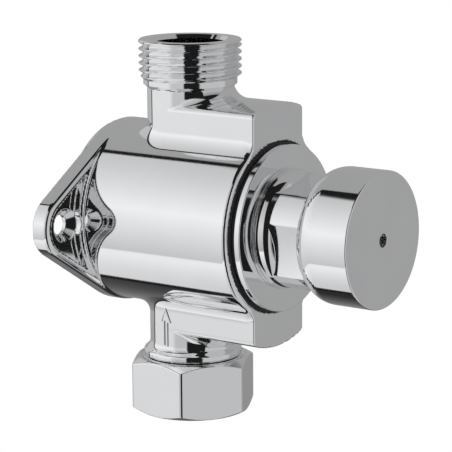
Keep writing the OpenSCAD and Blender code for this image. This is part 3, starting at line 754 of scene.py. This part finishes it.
def build_bonnet(material, shade_ring_material):
    corners = [
        (SPRING_ROOM_R, SKIRT_REAR, FINE_EDGE),
        (SPRING_ROOM_R, NECK_COLLAR_FRONT, FINE_EDGE),
        (NECK_COLLAR_R, NECK_COLLAR_FRONT, NECK_COLLAR_ROUND),
        (NECK_COLLAR_R, NECK_GROOVE_FRONT, TIGHT_EDGE),
        (NECK_GROOVE_R, NECK_GROOVE_FRONT - NECK_GROOVE_TAPER, TIGHT_EDGE),
        (NECK_GROOVE_R, NECK_GROOVE_REAR + NECK_GROOVE_TAPER, TIGHT_EDGE),
        (NECK_COLLAR_R, NECK_GROOVE_REAR, TIGHT_EDGE),
        (NECK_COLLAR_R, BONNET_FRONT, FINE_EDGE),
        (BONNET_R, BONNET_FRONT, BONNET_ROUND),
        (BONNET_R, BONNET_STEP, BONNET_STEP_ROUND),
        (BONNET_STEP_R, BONNET_STEP, FINE_EDGE),
        (BONNET_STEP_R, BONNET_FOOT, FINE_EDGE),
        (SKIRT_R, BONNET_FOOT, TIGHT_EDGE),
        (SKIRT_R, SKIRT_REAR, FINE_EDGE),
    ]
    add_piece(revolve("bonnet_flange", corners), "tap_body", material, "bonnet")

    # Painted shade: a black ring set in the recess round the bonnet, standing for the shadowed gap there
    shade_ring = [
        (BONNET_STEP_R + SHADE_RING_GAP, RECESS_FLOOR + SHADE_RING_GAP, FINE_EDGE),
        (RECESS_R - SHADE_RING_GAP, RECESS_FLOOR + SHADE_RING_GAP, FINE_EDGE),
        (RECESS_R - SHADE_RING_GAP, SHADE_RING_FRONT, SHADE_RING_ROUND),
        (BONNET_STEP_R + SHADE_RING_GAP, SHADE_RING_FRONT, SHADE_RING_ROUND),
    ]
    add_piece(revolve("bonnet_shade_ring", shade_ring), "tap_body", shade_ring_material)

    low = np.array([-NECK_R, -NECK_FRONT, -NECK_R])
    high = np.array([NECK_R, -BONNET_FRONT + NECK_OVERLAP, NECK_R])
    points, faces, normals = surface_net(neck_field, low, high, FINE_STEP)
    add_piece(make_mesh("bonnet_neck", points, faces, normals), "tap_body", material)


def build_button(material):
    bend_r = (FLARE_LEN**2 + (BUTTON_R - LIP_R) ** 2) / (2 * (BUTTON_R - LIP_R))
    flare = []
    for step in range(1, FLARE_STEPS):
        reach = FLARE_LEN * step / FLARE_STEPS
        flare_r = BUTTON_R - bend_r + math.sqrt(bend_r**2 - (FLARE_LEN - reach) ** 2)
        flare.append((flare_r, BUTTON_REAR + reach, FLARE_ROUND))
    corners = [
        (LIP_R, BUTTON_REAR, FINE_EDGE),
        *flare,
        (BUTTON_R, BUTTON_REAR + FLARE_LEN, FLARE_ROUND),
        (BUTTON_R, BUTTON_FACE, BUTTON_FACE_ROUND),
        (FACE_HOLE_R, BUTTON_FACE, FACE_HOLE_ROUND),
        (FACE_HOLE_R, SPINDLE_FIT_FRONT, TIGHT_EDGE),
        (SPINDLE_FIT_R, SPINDLE_FIT_FRONT, TIGHT_EDGE),
        (SPINDLE_FIT_R, BOSS_REAR, FINE_EDGE),
        (BOSS_R, BOSS_REAR, SOFT_EDGE),
        (BOSS_R, BUTTON_CEILING, SOFT_EDGE),
        (BUTTON_BORE_R, BUTTON_CEILING, SOFT_EDGE),
        (BUTTON_BORE_R, BUTTON_REAR, FINE_EDGE),
    ]
    add_piece(revolve("button_cap", corners), "button", material, "push_button")


def build_nut(material):
    points, faces, normals = surface_net(nut_field, NUT_LOW, NUT_HIGH, FINE_STEP)
    add_piece(make_mesh("nut_hexagon", points, faces, normals), "inlet_nut", material, "union_nut")
    sleeve = thread_sleeve(
        "nut_thread", NUT_BORE_R, NUT_ROOT_R, NUT_THREAD_LOW, NUT_THREAD_HIGH, NUT_SLEEVE_R, inward=True)
    add_piece(sleeve, "inlet_nut", material)


def build_spring(material):
    """Wire coil from the spring plate to the cup; the real spring shortens as the button goes in, and this
    mesh is built at one length.
    """
    rear, front = -SPRING_HIGH[1] + WIRE_R, -SPRING_LOW[1] - WIRE_R
    turn = np.linspace(0, SPRING_TURNS, WIRE_RINGS)[:, None]
    around = (np.arange(WIRE_SIDES) * 2 * math.pi / WIRE_SIDES)[None, :]
    angle = turn * 2 * math.pi
    reach = SPRING_R + WIRE_R * np.cos(around)
    depth = rear + (front - rear) * turn / SPRING_TURNS + WIRE_R * np.sin(around)
    points = np.stack([reach * np.cos(angle), -depth, reach * np.sin(angle)], axis=2).reshape(-1, 3)
    ring = np.arange(WIRE_RINGS - 1)[:, None] * WIRE_SIDES
    here = ring + np.arange(WIRE_SIDES)[None, :]
    after = ring + (np.arange(WIRE_SIDES)[None, :] + 1) % WIRE_SIDES
    faces = np.stack([here, here + WIRE_SIDES, after + WIRE_SIDES, after], axis=2).reshape(-1, 4).tolist()

    # Flat ends, each made of strips across the wire
    last = (WIRE_RINGS - 1) * WIRE_SIDES
    for i in range(WIRE_SIDES // 2 - 1):
        strip = [i, i + 1, WIRE_SIDES - 2 - i, WIRE_SIDES - 1 - i]
        faces.append(strip)
        faces.append([last + corner for corner in reversed(strip)])
    coil = make_mesh("return_coil", points, faces)
    coil.data.set_sharp_from_angle(angle=math.radians(COIL_SMOOTH_ANGLE))
    add_piece(coil, "tap_body", material, "return_spring")
    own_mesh(coil)


# Studio


def build_camera():
    azimuth, elevation, roll = (
        math.radians(angle) for angle in (CAMERA_AZIMUTH, CAMERA_ELEVATION, CAMERA_ROLL))
    right = Vector((math.cos(azimuth), math.sin(azimuth), 0))
    back = Vector((
        math.sin(azimuth) * math.cos(elevation),
        -math.cos(azimuth) * math.cos(elevation),
        math.sin(elevation),
    ))
    up = back.cross(right)
    turned_right = right * math.cos(roll) + up * math.sin(roll)
    turned_up = up * math.cos(roll) - right * math.sin(roll)
    data = bpy.data.cameras.new("camera")
    data.sensor_fit = "HORIZONTAL"
    data.sensor_width = SENSOR_WIDTH
    data.lens = SENSOR_WIDTH * FOCAL_LENGTH_PX / PHOTO_WIDTH_PX
    data.clip_start = CLIP_START
    camera = bpy.data.objects.new("camera", data)
    facing = Matrix((turned_right, turned_up, back)).transposed().to_4x4()
    camera.matrix_world = Matrix.Translation(CAMERA_PLACE) @ facing
    bpy.context.scene.collection.objects.link(camera)
    bpy.context.scene.camera = camera


def build_floor():
    """Round pale floor, plain white to the camera and absent from reflections."""
    turns = [i * 2 * math.pi / FLOOR_STEPS for i in range(FLOOR_STEPS)]
    ring = [(FLOOR_R * math.cos(turn), FLOOR_R * math.sin(turn), FLOOR_Z) for turn in turns]
    mesh = bpy.data.meshes.new("floor")
    mesh.from_pydata(ring, [], [list(range(FLOOR_STEPS))])
    floor = bpy.data.objects.new("floor", mesh)
    bpy.context.scene.collection.objects.link(floor)
    made = Nodes("floor")
    made.set(Base_Color=(0.9, 0.9, 0.9, 1), Roughness=0.9)
    path = made.add("ShaderNodeLightPath")
    glow = made.add("ShaderNodeEmission", Strength=1.0)
    mix = made.add("ShaderNodeMixShader")
    output = made.tree.nodes["Material Output"]
    made.link(path.outputs["Is Camera Ray"], mix.inputs[0])
    made.link(made.shader.outputs[0], mix.inputs[1])
    made.link(glow.outputs[0], mix.inputs[2])
    made.link(mix.outputs[0], output.inputs["Surface"])
    mesh.materials.append(made.material)
    floor.visible_glossy = False


def build_world():
    """Light by direction: a white wall and floor on one side, grey on the other, and a dark gap between."""
    world = bpy.data.worlds.new("studio")
    bpy.context.scene.world = world
    world.use_nodes = True
    tree = world.node_tree
    tree.nodes.clear()

    def add(kind, **values):
        made = tree.nodes.new(kind)
        for key, value in values.items():
            setattr(made, key, value)
        return made

    def feed(socket, value):
        if isinstance(value, (int, float)):
            socket.default_value = value
        else:
            tree.links.new(value, socket)

    def math_node(operation, *values):
        made = add("ShaderNodeMath", operation=operation)
        for slot, value in enumerate(values):
            feed(made.inputs[slot], value)
        return made.outputs[0]

    def product(first, *others):
        for other in others:
            first = math_node("MULTIPLY", first, other)
        return first

    def step_up(value, start, end):
        made = add("ShaderNodeMapRange", interpolation_type="SMOOTHSTEP")
        made.inputs["From Min"].default_value = start
        made.inputs["From Max"].default_value = end
        tree.links.new(value, made.inputs["Value"])
        return made.outputs["Result"]

    def step_down(value, start, end):
        return math_node("SUBTRACT", 1.0, step_up(value, start, end))

    def between(value, start, end, soft):
        """One between the two angles, zero outside them."""
        rise = step_up(value, start - soft / 2, start + soft / 2)
        fall = step_up(value, end - soft / 2, end + soft / 2)
        return math_node("SUBTRACT", rise, fall)

    def ramp(value, start, end, low, high):
        made = add("ShaderNodeMapRange", interpolation_type="LINEAR")
        for name, number in (("From Min", start), ("From Max", end), ("To Min", low), ("To Max", high)):
            made.inputs[name].default_value = number
        tree.links.new(value, made.inputs["Value"])
        return made.outputs["Result"]

    def either(first, second, share):
        """First where share is 0, second where it is 1."""
        made = add("ShaderNodeMix", data_type="FLOAT")
        feed(made.inputs["Factor"], share)
        feed(made.inputs["A"], first)
        feed(made.inputs["B"], second)
        return made.outputs["Result"]

    place = add("ShaderNodeTexCoord")
    split = add("ShaderNodeSeparateXYZ")
    tree.links.new(place.outputs["Generated"], split.inputs[0])
    x, y, z = split.outputs
    turn = math.radians(GAP_MIDDLE + 180)
    ahead = math_node("ADD", product(x, math.cos(turn)), product(y, math.sin(turn)))
    aside = math_node("SUBTRACT", product(y, math.cos(turn)), product(x, math.sin(turn)))
    azimuth = math_node("DEGREES", math_node("ARCTAN2", aside, ahead))
    elevation = math_node("DEGREES", math_node("ARCSINE", z))
    lean = math_node("ADD", x, math_node("MULTIPLY_ADD", z, GAP_LEAN, GAP_SHIFT))

    # The white wall left of the tap is brightest at its own height, and stands on a white floor
    white_below, white_above = ramp(elevation, *WHITE_BELOW_RAMP), ramp(elevation, *WHITE_ABOVE_RAMP)
    white_wall = math_node("MINIMUM", white_below, white_above)
    white_wall = product(white_wall, ramp(azimuth, *WHITE_SIDE_RAMP))
    white_floor = ramp(elevation, *WHITE_FLOOR_RAMP)
    left = product(
        either(white_floor, white_wall, step_up(elevation, *WHITE_FOOT_EDGE)),
        step_down(lean, *GAP_WHITE_EDGE),
        step_down(azimuth, *WHITE_FAR_EDGE),
        step_up(azimuth, *WHITE_NEAR_EDGE),
        step_down(elevation, *WHITE_TOP_EDGE),
    )

    # The grey side to its right darkens towards the floor, and has one lighter strip
    grey_low, grey_high = ramp(elevation, *GREY_LOW_RAMP), ramp(elevation, *GREY_HIGH_RAMP)
    grey_side = math_node("MINIMUM", grey_low, grey_high)
    right = either(GREY_FAR_LIGHT, grey_side, step_up(azimuth, *GREY_NEAR_EDGE))
    strip = product(between(azimuth, *STRIP_AZIMUTH_SPAN), between(elevation, *STRIP_ELEVATION_SPAN))
    right = product(
        math_node("MULTIPLY_ADD", strip, STRIP_LIGHT, right),
        step_up(lean, *GAP_GREY_EDGE),
        between(azimuth, *GREY_SPAN),
    )
    front = product(
        ramp(elevation, *FRONT_RAMP),
        between(azimuth, *FRONT_SPAN),
        step_down(elevation, *FRONT_TOP_EDGE),
    )
    light = math_node("ADD", math_node("ADD", left, right), math_node("ADD", front, DARKEST))

    # The camera sees plain white
    seen = add("ShaderNodeLightPath")
    direct = math_node("MAXIMUM", seen.outputs["Is Camera Ray"], seen.outputs["Is Transmission Ray"])
    background = add("ShaderNodeBackground")
    background.inputs["Color"].default_value = (1, 1, 1, 1)
    tree.links.new(either(light, 1.0, direct), background.inputs["Strength"])
    output = add("ShaderNodeOutputWorld")
    tree.links.new(background.outputs[0], output.inputs["Surface"])


def build_lamp():
    """Soft light on the dull materials, which the chrome doesn't reflect."""
    data = bpy.data.lights.new("softbox", "AREA")
    data.energy = LAMP_POWER
    data.size = LAMP_SIZE
    lamp = bpy.data.objects.new("softbox", data)
    lamp.location = LAMP_PLACE
    lamp.rotation_euler = [math.radians(angle) for angle in LAMP_TURN]
    lamp.visible_glossy = False
    bpy.context.scene.collection.objects.link(lamp)


build_camera()
build_world()
build_floor()
build_lamp()

CAST_CHROME = chrome("chrome_casting", wave=0.05)
SLOT_MATERIALS = {
    "chrome": chrome("chrome_turned"),
    "brass": grained(
        "brass_turned", dict(scale=400.0, stretch=(1, 14, 1)), metallic=1.0,
        dark=(0.62, 0.42, 0.17), light=(0.8, 0.6, 0.3), rough=(0.22, 0.38), bump=(0.15, 0.0001)),
    "stainless": grained(
        "steel_turned", dict(scale=500.0, stretch=(1, 10, 1)), metallic=1.0,
        dark=(0.5, 0.51, 0.53), light=(0.68, 0.69, 0.71), rough=(0.2, 0.34)),
    # Rubber for the real seals, and also the dark colour of the painted shade ring round the bonnet
    "rubber": grained(
        "rubber_seals_and_gap_shade", dict(scale=1500.0, detail=6.0),
        dark=(0.018, 0.018, 0.02), light=(0.045, 0.045, 0.05), rough=(0.5, 0.65), bump=(0.2, 0.00005)),
    "acetal": grained(
        "acetal_white", dict(scale=250.0),
        dark=(0.78, 0.78, 0.74), light=(0.86, 0.86, 0.83), rough=(0.34, 0.46)),
    "fibre": grained(
        "gasket_fibre", dict(scale=1200.0, detail=8.0, stretch=(1, 1, 4)),
        dark=(0.16, 0.035, 0.02), light=(0.34, 0.11, 0.07), rough=(0.7, 0.9), bump=(0.4, 0.0001)),
}

build_body(CAST_CHROME)
build_bonnet(SLOT_MATERIALS["chrome"], SLOT_MATERIALS["rubber"])
build_button(SLOT_MATERIALS["chrome"])
build_nut(SLOT_MATERIALS["chrome"])
build_spring(SLOT_MATERIALS["stainless"])

for part in frame["record"]["subparts"]:
    node = bpy.data.objects.get(part["node"])
    if node is not None:
        dress(node, SLOT_MATERIALS[part["material_slot"]])

bpy.context.scene.view_settings.view_transform = "Standard"
